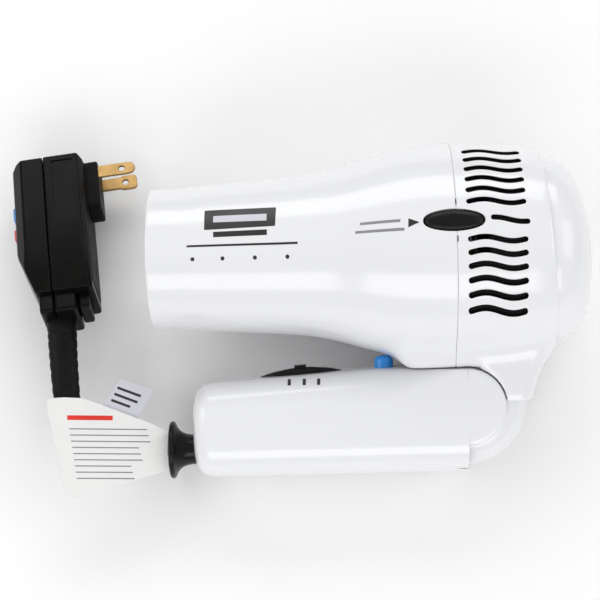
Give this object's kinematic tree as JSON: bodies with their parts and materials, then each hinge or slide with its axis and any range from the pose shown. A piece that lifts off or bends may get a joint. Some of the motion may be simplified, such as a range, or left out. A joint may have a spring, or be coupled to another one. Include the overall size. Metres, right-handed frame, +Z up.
{
  "type": "hair dryer",
  "caption": "Folding-handle hair dryer with a round white barrel, rear vents, a sprung cord reel, slide switch, cool button, and a short free cord with a plug.",
  "frame": {"origin": "on the table under the middle of the dryer's bounding box, measured without the free cord and its plug", "axes": "+X runs along the barrel from the air outlet to the rear cap, +Z is up from the table, and the folded handle lies towards -Y. The dryer lies on its side, rolled until the barrel and the handle's lower side both touch the table."},
  "size_m": [0.2739, 0.1701, 0.1007],
  "materials": {
    "gloss_white": "gloss",
    "screen_black": "matte",
    "grille_black": "satin",
    "mica": "matte",
    "nichrome": "satin",
    "steel": "satin",
    "potting_blue": "satin",
    "magnet": "matte",
    "carbon": "matte",
    "dark_plastic": "satin",
    "brass": "polished",
    "copper": "satin",
    "board_green": "satin",
    "red_wire": "satin",
    "gloss_black": "gloss",
    "plug_black": "gloss",
    "cord_black": "satin",
    "button_blue": "gloss",
    "button_red": "gloss",
    "label_white": "satin",
    "label_grey": "satin"
  },
  "bodies": {
    "housing": {"front_housing": "gloss_white", "rear_housing": "gloss_white", "rear_cap": "gloss_white", "air_screen": "screen_black", "outlet_grille": "grille_black", "heat_shield": "mica", "mica_frame": "mica", "heater_coils": "nichrome", "thermal_cutouts": "steel", "ionizer_module": "potting_blue", "ion_needle": "steel", "motor_mount": "dark_plastic", "motor_can": "steel", "motor_end_cap": "dark_plastic", "motor_magnets": "magnet", "motor_bearings": "brass", "motor_brushes": "carbon", "rectifier_board": "board_green", "housing_screws": "steel", "heater_wires": "red_wire", "reel_frame": "dark_plastic", "reel_axle": "steel", "spring_case": "dark_plastic", "reel_spring": "steel", "brush_holder": "brass", "cord_in_housing": "cord_black", "button_springs": "steel", "brake_pin": "steel"},
    "fan": {"armature": "copper", "motor_shaft": "steel", "fan_impeller": "dark_plastic"},
    "reel": {"reel_spool": "dark_plastic", "slip_rings": "brass", "wound_cord": "cord_black"},
    "retract_button": {"retract_button": "gloss_black"},
    "brake_lever": {"brake_lever": "steel"},
    "handle": {"handle_left": "gloss_white", "handle_right": "gloss_white", "hinge_pin": "steel", "hinge_washers": "steel", "detent_spring": "steel", "handle_screws": "steel", "switch_bezel": "gloss_black", "switch_body": "dark_plastic", "cool_spring": "steel", "cool_switch": "dark_plastic", "cord_guide": "gloss_black", "cord_in_handle": "cord_black", "supply_cord": "cord_black", "cord_boot": "cord_black", "plug_front": "plug_black", "plug_back": "plug_black", "plug_board": "board_green", "plug_blades": "brass", "warning_tag": "label_white", "cord_sticker": "label_grey"},
    "switch_slider": {"switch_slider": "gloss_black"},
    "cool_button": {"cool_button": "button_blue"},
    "test_button": {"test_button": "button_blue"},
    "reset_button": {"reset_button": "button_red"}
  },
  "joints": [
    {"name": "handle_fold", "type": "hinge", "parent": "housing", "child": "handle", "pos_m": [0.04266, -0.04218, 0.02681], "axis": [0, -0.3289, 0.9444], "range_deg": [0, 88]},
    {"name": "fan_spin", "type": "hinge", "parent": "housing", "child": "fan", "pos_m": [0.03066, 0.0244, 0.05], "axis": [1, 0, 0], "continuous": true},
    {"name": "reel_spin", "type": "hinge", "parent": "housing", "child": "reel", "pos_m": [0.05666, 0.0244, 0.05], "axis": [1, 0, 0], "continuous": true},
    {"name": "retract_press", "type": "slide", "parent": "housing", "child": "retract_button", "axis": [0, 0.0384, -0.9993], "range_m": [0, 0.0015], "stiffness_N_per_m": 800, "springref_m": -0.002, "deforming": ["button_springs"]},
    {"name": "brake_rock", "type": "hinge", "parent": "housing", "child": "brake_lever", "pos_m": [0.04366, 0.02279, 0.09187], "axis": [0, -0.9993, -0.0384], "range_deg": [0, 6.2]},
    {"name": "switch_slide", "type": "slide", "parent": "handle", "child": "switch_slider", "axis": [0.9981, 0.0581, 0.0202], "range_m": [-0.0067, 0.0067]},
    {"name": "cool_press", "type": "slide", "parent": "handle", "child": "cool_button", "axis": [0, -0.9444, -0.3289], "range_m": [0, 0.0025], "stiffness_N_per_m": 400, "springref_m": -0.002, "deforming": ["cool_spring"]},
    {"name": "test_press", "type": "slide", "parent": "handle", "child": "test_button", "axis": [0.9925, 0.1219, 0], "range_m": [0, 0.0012], "stiffness_N_per_m": 500, "springref_m": -0.001},
    {"name": "reset_press", "type": "slide", "parent": "handle", "child": "reset_button", "axis": [0.9925, 0.1219, 0], "range_m": [0, 0.0012], "stiffness_N_per_m": 500, "springref_m": -0.001}
  ],
  "couplings": [
    {"joint": "brake_rock", "follows": "retract_press", "rad_per_m": 71.4}
  ]
}
